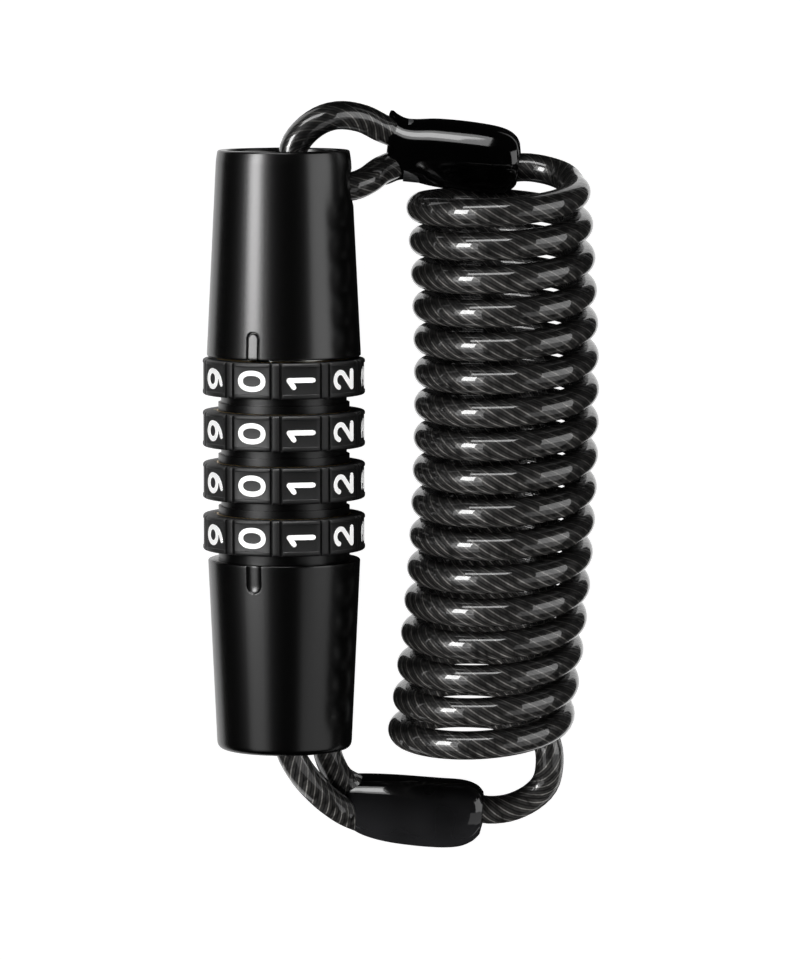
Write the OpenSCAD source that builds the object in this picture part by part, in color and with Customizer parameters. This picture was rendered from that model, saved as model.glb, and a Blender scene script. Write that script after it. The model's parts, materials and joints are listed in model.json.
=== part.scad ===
// Four-dial combination cable lock, closed and lying on a table.
// X runs across the barrel, Y along it (the plug half is at +Y) and Z up.
// The origin is under the middle of the lock body, on the table.

/* [Dials] */
// Diameter over the ribs of a number ring
dial_d = 20; // [19.2:0.1:24]
// Height of one number ring along the barrel
dial_h = 4.4; // [3.6:0.1:5.4]
// Space between two number rings, filled by a spacer
dial_gap = 2.0; // [1.2:0.1:3]
// How far a digit pad's flat lies under the ribs
pad_drop = 0.28; // [0.1:0.02:0.4]
// Width of the groove between two pads
pad_groove_w = 0.45; // [0.2:0.05:0.8]
// Depth of the groove between two pads
pad_groove_h = 0.3; // [0.1:0.05:0.5]
// Diameter of the spacers between the rings
spacer_d = 16.2; // [15.4:0.1:17]
// Turn of the opening line from straight up, towards -X
code_angle = -22.5; // [-30:0.5:30]

/* [Plug housing] */
// Length of the plug housing
plug_len = 25.3; // [24:0.1:31]
// Diameter of the plug housing beside the dials
plug_mouth_d = 19; // [17.8:0.1:20]
// Diameter of the plug housing at its outer end
plug_end_d = 16.5; // [16:0.1:18]
// Slit between the plug housing and the first dial
plug_slit = 0.3; // [0.2:0.05:0.6]

/* [Base housing] */
// Length of the base housing
base_len = 23.6; // [22:0.1:29]
// Diameter of the base housing beside the dials
base_mouth_d = 18.8; // [17.8:0.1:20]
// Diameter of the base housing at its outer end
base_end_d = 16.6; // [16:0.1:18]
// Space between the base housing and the last dial
base_gap = 1.2; // [0.8:0.1:2]
// Rounding of the base housing's outer edge
base_round = 1.0; // [0.4:0.1:1.1]

/* [Housing walls] */
// Wall round the eye recess at each outer end
end_wall = 1.2; // [1:0.05:1.4]
// Diameter of the space inside each housing's mouth
cavity_d = 15; // [14.8:0.1:15.6]
// Depth of the plug housing's eye recess
plug_recess = 7; // [6.8:0.1:8]
// Depth of the base housing's eye recess
base_recess = 9.5; // [9.4:0.1:10.5]
// Thickness of the cross wall that holds the plug
plug_web = 3.5; // [3:0.1:4.5]
// Thickness of the cross wall that holds the barrel sleeve
base_web = 5.5; // [4.5:0.1:6.5]

/* [Mechanism] */
// Diameter of the plug shaft
shaft_d = 7.92; // [7:0.02:8.4]
// Running clearance round the shaft and under the code rings, per side
running = 0.06; // [0.03:0.01:0.1]
// Wall of the barrel sleeve
sleeve_wall = 1.46; // [1.3:0.02:1.6]
// How far a tooth reaches from the shaft's axis
tooth_reach = 7.1; // [6.6:0.1:7.2]
// Width of a tooth
tooth_w = 2.2; // [1.6:0.1:2.6]
// Length of a tooth along the shaft
tooth_len = 1.5; // [1.1:0.1:1.7]
// Thickness of each code ring's web
web_h = 1.6; // [1.2:0.1:1.8]
// Diameter of the code rings inside the number rings
code_ring_d = 16.6; // [16.2:0.1:16.8]

/* [Cable] */
// Diameter of the plastic-covered cable
cable_d = 3.5; // [3:0.1:3.5]
// Outside diameter of the cable's coil
coil_d = 22.8; // [20:0.1:23]
// Middle of the coil from the barrel's axis, at its furthest
coil_out = 27.4; // [27:0.1:32]
// Diameter of the pin that the base eye is looped round
anchor_d = 3; // [2:0.1:3]
// Length of each crimped ferrule
ferrule_len = 10; // [8:0.5:11]

/* [Hidden] */
$fn = 96;
eps = 0.01;

dial_count = 4;
digits = 10;
pitch_angle = 360 / digits;
axis_h = dial_d / 2;
dial_pitch = dial_h + dial_gap;
body_len = plug_len + plug_slit + dial_count * dial_h + (dial_count - 1) * dial_gap + base_gap + base_len;
plug_end = body_len / 2;
plug_mouth = plug_end - plug_len;
base_end = -body_len / 2;
base_mouth = base_end + base_len;
dial_top = plug_mouth - plug_slit;
dial_bottom = base_mouth + base_gap;
function dial_mid(k) = dial_top - dial_h / 2 - k * dial_pitch;

slit = 0.06;                    // end play beside each ring and washer
pin_fit = 0.02;                 // clearance round a pressed pin
edge = 0.35;                    // small bevel on the turned parts

plug_web_top = plug_end - plug_recess;
plug_web_bottom = plug_web_top - plug_web;
base_web_bottom = base_end + base_recess;
base_web_top = base_web_bottom + base_web;

sleeve_in = shaft_d / 2 + running;
sleeve_out = sleeve_in + sleeve_wall;
ring_bore = sleeve_out + running;
slot_w = tooth_w + 0.4;
gate_w = tooth_w + 0.6;
gate_reach = tooth_reach + 0.3;
recess_h = dial_h - web_h;
tooth_drop = 0.3;               // a tooth lies this far under its web
washer_h = 0.55;
clip_h = 0.7;
clip_bottom = dial_top + slit + washer_h + slit;
sleeve_top = clip_bottom + clip_h + 2.2;
flange_h = 1.5;
flange_d = cavity_d - 0.2;
shaft_bottom = dial_bottom - 1;
bore_bottom = shaft_bottom - 0.8;
tail_d = 6;                     // stepped end of the shaft, in the plug housing's cross wall
stem_d = 9;                     // stepped end of the sleeve, in the base housing's cross wall
strip_t = 0.25;
strip_w = 2;
strip_r = sleeve_out - 0.65;    // floor of the groove that the click spring lies in
bump_r = 0.4;
key_w = 1.4;
key_h = 0.5;
spline_w = 1;
spline_h = 0.4;

strand = cable_d / 2;
strand_gap = strand + 0.01;     // half the distance between the two strands in a ferrule
side_hole_d = cable_d + 1.1;
side_hole_in = 4.6;             // from the housing's end to the middle of the side hole
anchor_bar = [5.7, -1.4];       // bar cast into the plug housing: across, and from its end
anchor_bar_d = 2.5;
anchor_across = [2.7, 1.5];     // middle of the base eye's pin: across, and above the barrel's axis
anchor_in = 3.7;                // from the base housing's end to the pin's middle
anchor_turn = 45;               // the pin's tilt from level
anchor_len = 15;
cable_axis_h = 10;              // height of the barrel's axis that the routes are drawn for
cable_low_x = 15;               // past this a route lies on the table
cable_low_h = 3.5;

// Crimps: middle (with y from the housing's end) and tilt. Along is towards the tail.
plug_crimp = [20, -0.75, 3.2];
base_crimp = [15.5, -8.7, 3.5];
crimp_tilt = -5.5;
function on_crimp(mid, along, across, up = 0) =
    mid + [along * cos(crimp_tilt) - across * sin(crimp_tilt),
           along * sin(crimp_tilt) + across * cos(crimp_tilt), up];

// Cable routes as points, with y from the housing's end. Each starts at the strand's cut end
// in the ferrule, goes round the eye, back through the ferrule and on to the coil.
plug_route = [
    on_crimp(plug_crimp, ferrule_len / 2 - 1, strand_gap),
    on_crimp(plug_crimp, -ferrule_len / 2, strand_gap),
    on_crimp(plug_crimp, -ferrule_len / 2 - 0.8, strand_gap),
    [12.2, 2.4, 4.3], [9.7, 3.7, 6.5], [6.9, 4.2, 8.7], [4.5, 3.6, 9.7], [2.4, 2.0, 10],
    [1.2, 0, 10], [1.5, -2.1, 10], [3.1, -4.0, 10], [5.6, -4.7, 10], [8.4, -4.5, 9.7],
    [10.3, -3.8, 8.3], [12.0, -2.7, 5.5],
    on_crimp(plug_crimp, -ferrule_len / 2 - 0.8, -strand_gap),
    on_crimp(plug_crimp, -ferrule_len / 2, -strand_gap),
    on_crimp(plug_crimp, ferrule_len / 2, -strand_gap),
    on_crimp(plug_crimp, ferrule_len / 2 + 0.8, -strand_gap),
    [27.7, -2.6, 3.3], [29.9, -2.4, 3.4], [32.2, -2.7, 4.0], [34.2, -3.3, 5.2], [35.3, -4.3, 7.2],
    [35.4, -6.1, 8.6]];
base_route = [
    on_crimp(base_crimp, ferrule_len / 2 - 1, -strand_gap),
    on_crimp(base_crimp, -ferrule_len / 2, -strand_gap),
    on_crimp(base_crimp, -ferrule_len / 2 - 0.8, -strand_gap),
    [7.6, -8.8, 5.3], [5.9, -7.3, 7.8], [4.2, -5.4, 10.4], [2.3, -2.9, 12.6], [0.9, -0.3, 13.6],
    [0.3, 2.2, 13.9], [0.4, 4.4, 13.8], [1.2, 6.3, 13.0], [2.7, 7.2, 11.5], [4.2, 6.3, 10.0],
    [5.0, 4.4, 9.2], [5.1, 2.2, 9.1], [5.2, -0.3, 8.8], [5.9, -2.7, 7.4], [7.2, -4.9, 5.1],
    on_crimp(base_crimp, -ferrule_len / 2 - 0.8, strand_gap),
    on_crimp(base_crimp, -ferrule_len / 2, strand_gap),
    on_crimp(base_crimp, ferrule_len / 2, strand_gap),
    on_crimp(base_crimp, ferrule_len / 2 + 0.8, strand_gap),
    [23.3, -8.3, 3.5], [25.4, -8.8, 3.4], [28.2, -8.5, 3.2], [30.9, -7.2, 3.0], [32.6, -5.2, 3.2],
    [33.0, -2.0, 4.2]];

// Crimp covers as oval sections: along, across, half height across, half thickness
plug_cover_sections = [
    [-7.2, 0.2, 4.7, 2.3], [-6.7, 0.2, 4.9, 2.5], [-5, 0.1, 4.2, 2.8], [-3.4, 0, 4, 2.95],
    [0, 0, 4.25, 3.05], [4.5, -0.1, 4.25, 3.1], [7, -0.2, 4, 2.95], [8.3, -0.3, 3.3, 2.6], [8.9, -0.4, 2.4, 2.2]];
base_cover_sections = [
    [-8.6, 0.6, 2.9, 3.1], [-8, 0.5, 3.2, 3.2], [-5.5, 0.1, 3.9, 3.2], [-2, -0.1, 4.35, 3.3],
    [3, -0.1, 4.45, 3.35], [6.5, 0.1, 4.3, 3.25], [8.2, 0.3, 3.6, 2.9], [9, 0.4, 2.6, 2.4]];

// The coil bows away from the barrel near its middle
coil_top = plug_end - 6.1;
coil_bottom = base_end - 2;
coil_bow = 0.0018;
coil_crest = plug_end - 31;
coil_rings = 8;
function coil_x(y) = coil_out - coil_bow * pow(y - coil_crest, 2);

// Barrel parts are drawn round Z, which lies along the table's Y
module lay() translate([0, 0, axis_h]) rotate([-90, 0, 0]) children();
// Turns +X to the opening line
module on_code_line() rotate([0, 0, code_angle - 90]) children();
// Runs a pin or hole along the barrel's local Y, which points down
module cross_hole(r, from, to) rotate([-90, 0, 0]) translate([0, 0, from]) cylinder(r = r, h = to - from);

// Ring between two radii, from bottom to top
module ring(outer, inner, bottom, top) {
    rotate_extrude() translate([inner, bottom]) square([outer - inner, top - bottom]);
}

// Rows of points round a path, joined into one closed tube
function unit(v) = v / norm(v);
function along_path(p, i) = unit(p[min(i + 1, len(p) - 1)] - p[max(i - 1, 0)]);
function across_path(p) = [
    for (i = 0, n = unit(cross(along_path(p, 0), [0.3, 0.2, 1])); i < len(p);
         i = i + 1, n = unit(n - (n * along_path(p, min(i, len(p) - 1))) * along_path(p, min(i, len(p) - 1)))) n];
module skin(rows) {
    n = len(rows[0]);
    last = len(rows) - 1;
    polyhedron(
        points = [for (row = rows) each row],
        faces = concat(
            [[for (j = [0:n - 1]) j]],
            [for (i = [0:last - 1], j = [0:n - 1])
                [i * n + (j + 1) % n, i * n + j, (i + 1) * n + j, (i + 1) * n + (j + 1) % n]],
            [[for (j = [n - 1:-1:0]) last * n + j]]),
        convexity = 10);
}
// The last ring is square to Y where the tube meets the coil's flat end
module tube(route, r, sides, last_dir) {
    normals = across_path(route);
    end = len(route) - 1;
    rows = [for (i = [0:end])
        let (t = i == end ? last_dir : along_path(route, i),
             n = unit(normals[i] - (normals[i] * t) * t), b = cross(t, n))
        [for (j = [0:sides - 1]) route[i] + r * (cos(360 * j / sides) * n + sin(360 * j / sides) * b)]];
    skin(rows);
}
// The part of a route that reaches the barrel rises with the barrel's axis
function axis_rise(p) = p[0] > cable_low_x ? 0 : (axis_h - cable_axis_h)
    * min(1, max(0, (p[2] - cable_low_h) / (cable_axis_h - cable_low_h)));
function from_end(route, y) = [for (p = route) p + [0, y, axis_rise(p)]];
module in_crimp(mid, y) translate(mid + [0, y, 0]) rotate([0, 0, crimp_tilt]) children();

module housing_mark(mouth, mouth_d, dir, w, len, line) {
    on_code_line() translate([mouth_d / 2 - 0.45, 0, mouth]) rotate([90, 0, 90]) linear_extrude(2)
        difference() {
            scale_mark(w, len, dir);
            if (line > 0) scale_mark(w - 2 * line, len - line, dir);
        }
}
module scale_mark(w, len, dir) {
    translate([-w / 2, dir > 0 ? -1 : -len + w / 2]) square([w, len - w / 2 + 1]);
    translate([0, dir * (len - w / 2)]) circle(d = w, $fn = 32);
}

module plug_housing() color("#1b1b1d") lay() difference() {
    union() {
        rotate_extrude() polygon([
            [tail_d / 2 + pin_fit, plug_web_bottom], [cavity_d / 2, plug_web_bottom], [cavity_d / 2, plug_mouth],
            [plug_mouth_d / 2 - edge, plug_mouth], [plug_mouth_d / 2, plug_mouth + edge],
            [plug_end_d / 2, plug_end - edge], [plug_end_d / 2 - edge, plug_end],
            [plug_end_d / 2 - end_wall, plug_end], [plug_end_d / 2 - end_wall, plug_web_top],
            [tail_d / 2 + pin_fit, plug_web_top]]);
        // bar that the cable's eye hangs on
        intersection() {
            translate([anchor_bar[0], 0, plug_end + anchor_bar[1]]) rotate([90, 0, 0])
                cylinder(d = anchor_bar_d, h = plug_end_d, center = true);
            translate([0, 0, plug_web_top]) cylinder(r = plug_end_d / 2 - end_wall / 2, h = plug_recess);
        }
    }
    translate([4, 0, plug_end - side_hole_in]) rotate([0, 90, 0]) cylinder(d = side_hole_d, h = plug_mouth_d);
    translate([0, 0, plug_web_bottom + plug_web / 2]) cross_hole(0.8 + pin_fit, 0, plug_mouth_d);
    housing_mark(plug_mouth, plug_mouth_d, 1, 1.7, 3.5, 0.35);
}

module plug_shaft() color("#b9bcc0") lay() difference() {
    union() {
        translate([0, 0, shaft_bottom + 1]) cylinder(d = shaft_d, h = plug_web_bottom - shaft_bottom - 1);
        translate([0, 0, shaft_bottom]) cylinder(d1 = shaft_d - 2, d2 = shaft_d, h = 1);
        translate([0, 0, plug_web_bottom - eps]) cylinder(d = tail_d, h = plug_web - 0.1);
        for (k = [0:dial_count - 1])
            on_code_line()
                translate([0, -tooth_w / 2, dial_mid(k) + dial_h / 2 - web_h - tooth_drop - tooth_len])
                    cube([tooth_reach, tooth_w, tooth_len]);
    }
    translate([0, 0, plug_web_bottom + plug_web / 2]) cross_hole(0.8 + pin_fit, -tail_d, tail_d);
}

module plug_pin() color("#8f9296") lay()
    translate([0, 0, plug_web_bottom + plug_web / 2]) cross_hole(0.8, -2.4, plug_end_d / 2);

module base_housing() color("#1b1b1d") lay() difference() {
    rotate_extrude() polygon(concat(
        [[stem_d / 2 + pin_fit, base_web_bottom], [base_end_d / 2 - end_wall, base_web_bottom],
         [base_end_d / 2 - end_wall, base_end]],
        [for (a = [0:15:90])
            [base_end_d / 2 - base_round + base_round * sin(a),
             base_end + base_round - base_round * cos(a)]],
        [[base_mouth_d / 2, base_mouth - edge], [base_mouth_d / 2 - edge, base_mouth],
         [cavity_d / 2, base_mouth], [cavity_d / 2, base_web_top], [stem_d / 2 + pin_fit, base_web_top]]));
    anchor_pin_place() cylinder(d = anchor_d + 2 * pin_fit, h = anchor_len + 2 * pin_fit, center = true);
    translate([0, 0, (base_web_bottom + base_web_top) / 2]) cross_hole(1 + pin_fit, 0, base_mouth_d);
    housing_mark(base_mouth, base_mouth_d, -1, 2, 3.5, 0);
}

// The pin crosses the recess through the middle of the eye, and is centred in the housing's wall
anchor_shift = anchor_across * [cos(anchor_turn), sin(anchor_turn)];
module anchor_pin_place() translate([anchor_across[0], -anchor_across[1], base_end + anchor_in])
    rotate([0, 90, -anchor_turn]) translate([0, 0, -anchor_shift]) children();
module base_anchor_pin() color("#b9bcc0") lay() anchor_pin_place()
    cylinder(d = anchor_d, h = anchor_len, center = true);

module barrel_sleeve() color("#a9acb0") lay() difference() {
    union() {
        translate([0, 0, base_web_bottom + 0.1]) cylinder(d = stem_d, h = base_web);
        translate([0, 0, base_web_top]) cylinder(d = flange_d, h = flange_h);
        translate([0, 0, base_web_top]) cylinder(r = sleeve_out, h = sleeve_top - base_web_top - 0.5);
        translate([0, 0, sleeve_top - 0.5]) cylinder(r1 = sleeve_out, r2 = sleeve_out - 0.4, h = 0.5);
    }
    translate([0, 0, bore_bottom]) cylinder(r = sleeve_in, h = sleeve_top - bore_bottom + 1);
    // slot for the plug's teeth
    on_code_line() translate([0, -slot_w / 2, dial_bottom])
        cube([sleeve_out + 1, slot_w, sleeve_top - dial_bottom + 1]);
    // groove for the click spring, opposite
    on_code_line() translate([-sleeve_out - 1, -strip_w / 2 - 0.1, base_mouth])
        cube([sleeve_out + 1 - strip_r, strip_w + 0.2, dial_top - base_mouth]);
    // key groove for the spacers and washers
    on_code_line() translate([-key_w / 2 - 0.05, sleeve_out - key_h, base_mouth])
        cube([key_w + 0.1, sleeve_out, sleeve_top - base_mouth + 1]);
    ring(sleeve_out + 1, sleeve_out - key_h, clip_bottom - slit, clip_bottom + clip_h + slit);
    translate([0, 0, (base_web_bottom + base_web_top) / 2]) cross_hole(1 + pin_fit, -stem_d, stem_d);
}

module sleeve_pin() color("#8f9296") lay()
    translate([0, 0, (base_web_bottom + base_web_top) / 2]) cross_hole(1, -3.5, base_end_d / 2 + 0.2);

module number_ring(k) color("#222224") lay() translate([0, 0, dial_mid(k)]) on_code_line() difference() {
    intersection() {
        union() {
            cylinder(d = dial_d, h = dial_h - 2 * edge, center = true);
            for (s = [-1, 1])
                translate([0, 0, s * (dial_h - edge) / 2])
                    cylinder(r1 = dial_d / 2 - (s < 0 ? edge : 0), r2 = dial_d / 2 - (s > 0 ? edge : 0),
                             h = edge, center = true);
        }
        rotate([0, 0, pitch_angle / 2])
            cylinder(r = (dial_d / 2 - pad_drop) / cos(pitch_angle / 2), h = dial_h + 1, center = true, $fn = digits);
    }
    cylinder(d = code_ring_d + 2 * pin_fit, h = dial_h + 1, center = true);
    for (i = [0:digits - 1]) {
        rotate([0, 0, i * pitch_angle]) spline(pin_fit, dial_h + 1);
        rotate([0, 0, (i + 0.5) * pitch_angle])
            translate([dial_d / 2 - pad_groove_h, -pad_groove_w / 2, -dial_h])
                cube([1, pad_groove_w, 2 * dial_h]);
    }
}
// Spline between a number ring and its code ring
module spline(room, h) translate([code_ring_d / 2 - 0.5, -spline_w / 2 - room, -h / 2])
    cube([0.5 + spline_h + room, spline_w + 2 * room, h]);

module code_ring(k) color("#c8a862") lay() translate([0, 0, dial_mid(k)]) on_code_line() difference() {
    union() {
        cylinder(d = code_ring_d, h = dial_h, center = true);
        for (i = [0:digits - 1]) rotate([0, 0, i * pitch_angle]) spline(0, dial_h);
    }
    cylinder(r = ring_bore, h = dial_h + 1, center = true);
    translate([0, 0, -dial_h / 2 - 1]) cylinder(r = gate_reach, h = recess_h + 1);
    translate([0, -gate_w / 2, 0]) cube([gate_reach, gate_w, dial_h]);
    for (i = [0:digits - 1]) rotate([0, 0, i * pitch_angle])
        translate([-ring_bore + bump_r / 2, 0, 0]) cylinder(r = bump_r + 0.1, h = dial_h, $fn = 24);
}

// What every spacer and washer has: the teeth's gate and a key in the sleeve's groove
module keyed(outer, bottom, top) on_code_line() {
    difference() {
        ring(outer, ring_bore, bottom, top);
        translate([0, -gate_w / 2, bottom - 1]) cube([gate_reach, gate_w, top - bottom + 2]);
    }
    translate([-key_w / 2, sleeve_out - key_h + 0.05, bottom]) cube([key_w, key_h + 0.4, top - bottom]);
}
module spacer_ring(k) color("#202022") lay() {
    bottom = dial_mid(k) - dial_h / 2 - dial_gap + slit;
    top = dial_mid(k) - dial_h / 2 - slit;
    keyed(spacer_d / 2 - edge, bottom, top);
    difference() {
        ring(spacer_d / 2, spacer_d / 2 - 2 * edge, bottom, (bottom + top) / 2);
        on_code_line() translate([0, -gate_w / 2, bottom - 1]) cube([gate_reach, gate_w, dial_gap + 2]);
    }
}
module base_washer() color("#202022") lay() keyed(spacer_d / 2, base_mouth, dial_bottom - slit);
module top_washer() color("#9a9da1") lay()
    keyed(cavity_d / 2 - 0.3, dial_top + slit, dial_top + slit + washer_h);

module retaining_clip() color("#8f9296") lay() on_code_line() difference() {
    ring(cavity_d / 2 - 0.7, sleeve_out - key_h + 0.05, clip_bottom, clip_bottom + clip_h);
    translate([0, -gate_w / 2 - 0.2, clip_bottom - 1]) cube([cavity_d, gate_w + 0.4, clip_h + 2]);
}

// Sprung strip with one bump for each dial
module click_spring() color("#c9cbce") lay() on_code_line() {
    translate([-strip_r - strip_t, -strip_w / 2, base_mouth + 0.2])
        cube([strip_t - 0.05, strip_w, dial_top - base_mouth - 0.4]);
    for (k = [0:dial_count - 1])
        translate([-ring_bore + bump_r / 2, 0, dial_mid(k) + dial_h / 2 - web_h + 0.2])
            cylinder(r = bump_r, h = web_h - 0.4, $fn = 24);
}

// Oval block with a bore for each strand, x along the crimp
ferrule_wall = 0.4;
module ferrule_block(grow) {
    r = strand + ferrule_wall + grow;
    for (s = [-1, 1]) translate([0, s * strand_gap, 0]) rotate([0, 90, 0])
        cylinder(r = r, h = ferrule_len + 2 * grow, center = true);
    cube([ferrule_len + 2 * grow, 2 * strand_gap, 2 * r], center = true);
}
module ferrule(mid, y) color("#c4c7ca") in_crimp(mid, y) difference() {
    ferrule_block(0);
    for (s = [-1, 1]) translate([0, s * strand_gap, 0]) rotate([0, 90, 0])
        cylinder(r = strand + pin_fit, h = ferrule_len + 2, center = true);
}
cover_sides = 32;
module cover(mid, y, sections, route, last_dir) color("#151517") difference() {
    in_crimp(mid, y) skin([for (s = sections) [for (j = [0:cover_sides - 1])
        [s[0], s[1] + s[2] * cos(360 * j / cover_sides), s[3] * sin(360 * j / cover_sides)]]]);
    in_crimp(mid, y) ferrule_block(pin_fit);
    tube(from_end(route, y), strand + 2 * pin_fit, 8, last_dir);
}

module cable_coil() color("#2a2a2e") {
    rows = [for (i = [0:coil_rings])
        let (y = coil_bottom + (coil_top - coil_bottom) * i / coil_rings)
        [for (j = [0:23]) [coil_x(y) + coil_d / 2 * sin(j * 15), y, coil_d / 2 * (1 + cos(j * 15))]]];
    skin(rows);
}

plug_housing();
plug_shaft();
plug_pin();
base_housing();
barrel_sleeve();
sleeve_pin();
base_anchor_pin();
number_ring(0);  // number_ring_1
number_ring(1);  // number_ring_2
number_ring(2);  // number_ring_3
number_ring(3);  // number_ring_4
code_ring(0);  // code_ring_1
code_ring(1);  // code_ring_2
code_ring(2);  // code_ring_3
code_ring(3);  // code_ring_4
spacer_ring(0);  // spacer_ring_1
spacer_ring(1);  // spacer_ring_2
spacer_ring(2);  // spacer_ring_3
base_washer();
top_washer();
retaining_clip();
click_spring();
ferrule(plug_crimp, plug_end);  // plug_ferrule
cover(plug_crimp, plug_end, plug_cover_sections, plug_route, [0, -1, 0]);  // plug_crimp_cover
ferrule(base_crimp, base_end);  // base_ferrule
cover(base_crimp, base_end, base_cover_sections, base_route, [0, 1, 0]);  // base_crimp_cover
color("#2a2a2e") tube(from_end(plug_route, plug_end), strand, 8, [0, -1, 0]);  // plug_cable_end
color("#2a2a2e") tube(from_end(base_route, base_end), strand, 8, [0, 1, 0]);  // base_cable_end
cable_coil();
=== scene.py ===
import json
from math import cos, pi, radians, sin, sqrt

import bmesh
import bpy
import numpy as np
from mathutils import Matrix, Vector

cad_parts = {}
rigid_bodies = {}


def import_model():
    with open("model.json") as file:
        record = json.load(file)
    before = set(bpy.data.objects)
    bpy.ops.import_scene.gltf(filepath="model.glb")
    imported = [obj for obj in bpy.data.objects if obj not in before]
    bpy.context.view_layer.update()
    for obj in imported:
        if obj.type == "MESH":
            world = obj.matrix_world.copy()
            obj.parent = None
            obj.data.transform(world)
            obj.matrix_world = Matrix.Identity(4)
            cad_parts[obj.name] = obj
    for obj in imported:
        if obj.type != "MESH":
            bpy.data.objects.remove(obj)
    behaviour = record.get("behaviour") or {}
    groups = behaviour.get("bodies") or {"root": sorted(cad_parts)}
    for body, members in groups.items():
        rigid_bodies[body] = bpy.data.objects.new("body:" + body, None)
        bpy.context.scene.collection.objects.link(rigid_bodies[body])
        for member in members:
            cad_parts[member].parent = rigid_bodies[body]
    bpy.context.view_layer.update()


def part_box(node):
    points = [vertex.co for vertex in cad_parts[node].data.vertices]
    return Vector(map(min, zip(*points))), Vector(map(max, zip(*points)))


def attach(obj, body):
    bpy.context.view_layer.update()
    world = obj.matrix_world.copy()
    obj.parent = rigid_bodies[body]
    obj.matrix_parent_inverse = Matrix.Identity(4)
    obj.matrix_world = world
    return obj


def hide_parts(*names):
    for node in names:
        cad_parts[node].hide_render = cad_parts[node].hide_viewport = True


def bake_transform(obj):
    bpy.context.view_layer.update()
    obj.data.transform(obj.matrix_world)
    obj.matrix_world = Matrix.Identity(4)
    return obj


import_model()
mm = 0.001

# boxes of the main pieces in metres, then the housings' ends and the barrel's axis in millimetres
plugLow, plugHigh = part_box("plug_housing")
baseLow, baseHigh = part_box("base_housing")
coilLow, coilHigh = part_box("cable_coil")
plugEnd = plugHigh.y / mm
plugMouth = plugLow.y / mm
baseEnd = baseLow.y / mm
baseMouth = baseHigh.y / mm
axisHeight = (baseLow.z + baseHigh.z) / 2 / mm
codeAngle = -22.5  # turn of the opening line from straight up, in degrees
litMiddle = Vector((14, 0, axisHeight))  # between the barrel and the coil

# distances in millimetres, the elevation in degrees, and the nearest that the camera sees in metres
shot = {
    "distance": 704, "elevation": 84.6, "aim": (14.3, -3.7, 10), "lens": 214, "sensor": 36, "nearest": 0.01}


def placeCamera():
    aim = Vector(shot["aim"]) * mm
    rise = radians(shot["elevation"])
    back = Vector((0, cos(rise), sin(rise)))
    right = Vector((1, 0, 0))
    turn = Matrix((right, back.cross(right), back)).transposed().to_4x4()
    camera = bpy.data.objects.new("camera", bpy.data.cameras.new("camera"))
    bpy.context.scene.collection.objects.link(camera)
    camera.matrix_world = Matrix.Translation(aim + back * shot["distance"] * mm) @ turn
    camera.data.lens = shot["lens"]
    camera.data.sensor_width = shot["sensor"]
    camera.data.clip_start = shot["nearest"]
    bpy.context.scene.camera = camera


# each panel: its angle from straight up towards +X, its place along Y, its size across and along,
# and its radiance
panelReach = 500
panels = {
    "keyCore": (-47, 145, (165, 270), 17),
    "keyWing": (-46, 90, (340, 380), 2.0),
    "keyLow": (-43, -200, (290, 380), 1.25),
    "sideHigh": (66, 100, (400, 320), 2.6),
    "sideLow": (58, -230, (577, 340), 0.8),
}
topPanel = {"at": (-110, 420, 300), "size": (420, 130), "radiance": 7}
# each of these lights only the pieces that it is given further down
rim = {"at": (13.5, 0, 0.4), "size": (5, 78), "radiance": 0.8}
fill = {"at": (-30, 20, 550), "size": (700, 500), "radiance": 4.5}
wireLight = {"at": (-60, -420, 330), "size": (500, 300), "radiance": 5}
edgePanel = {"at": (0, 460, 130), "size": (500, 250), "radiance": 12}
plugCoverPanel = {"at": (-55, 410, 330), "size": (360, 270), "radiance": 4}
baseCoverPanel = {"at": (120, 410, 330), "size": (800, 250), "radiance": 4}


def addPanel(name, place, target, size, radiance, matt=False):
    data = bpy.data.lights.new(name, "AREA")
    data.shape = "RECTANGLE"
    data.size, data.size_y = (side * mm for side in size)
    data.energy = radiance * pi * data.size * data.size_y
    away = (place - target).normalized()
    across = Vector((0, 1, 0)).cross(away).normalized()
    turn = Matrix((across, away.cross(across), away)).transposed().to_4x4()
    lamp = bpy.data.objects.new(name, data)
    lamp.matrix_world = Matrix.Translation(place * mm) @ turn
    lamp.visible_camera = False
    lamp.visible_diffuse = matt
    bpy.context.scene.collection.objects.link(lamp)
    return lamp


def placeLights():
    for name, (angle, along, size, radiance) in panels.items():
        turn = radians(angle)
        place = Vector((panelReach * sin(turn), along, axisHeight + panelReach * cos(turn)))
        addPanel(name, place, Vector((0, along, axisHeight)), size, radiance)
    addPanel("topPanel", Vector(topPanel["at"]), litMiddle, topPanel["size"], topPanel["radiance"])
    print("lights:", len(panels) + 1, "panels")


def lightOnly(name, light, things, upwards=False, shiny=True, matt=True):
    at = Vector(light["at"])
    target = at + Vector((0, 0, 1)) if upwards else litMiddle
    lamp = addPanel(name, at, target, light["size"], light["radiance"], matt)
    lamp.visible_glossy = shiny
    only = bpy.data.collections.new(name + "Only")
    for thing in things:
        only.objects.link(thing)
    lamp.light_linking.receiver_collection = only


def newMaterial(name, **settings):
    material = bpy.data.materials.new(name)
    material.use_nodes = True
    shader = material.node_tree.nodes["Principled BSDF"]
    for socket, value in settings.items():
        shader.inputs[socket.replace("_", " ")].default_value = value
    return material, material.node_tree.nodes, material.node_tree.links, shader


def addNode(nodes, kind, settings=None, **inputs):
    node = nodes.new(kind)
    for attribute, value in (settings or {}).items():
        setattr(node, attribute, value)
    for socket, value in inputs.items():
        node.inputs[socket].default_value = value
    return node


def maths(nodes, links, operation, first, second=None):
    node = addNode(nodes, "ShaderNodeMath", {"operation": operation})
    for socket, value in enumerate((first, second)):
        if isinstance(value, (int, float)):
            node.inputs[socket].default_value = value
        elif value is not None:
            links.new(value, node.inputs[socket])
    return node.outputs[0]


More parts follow.
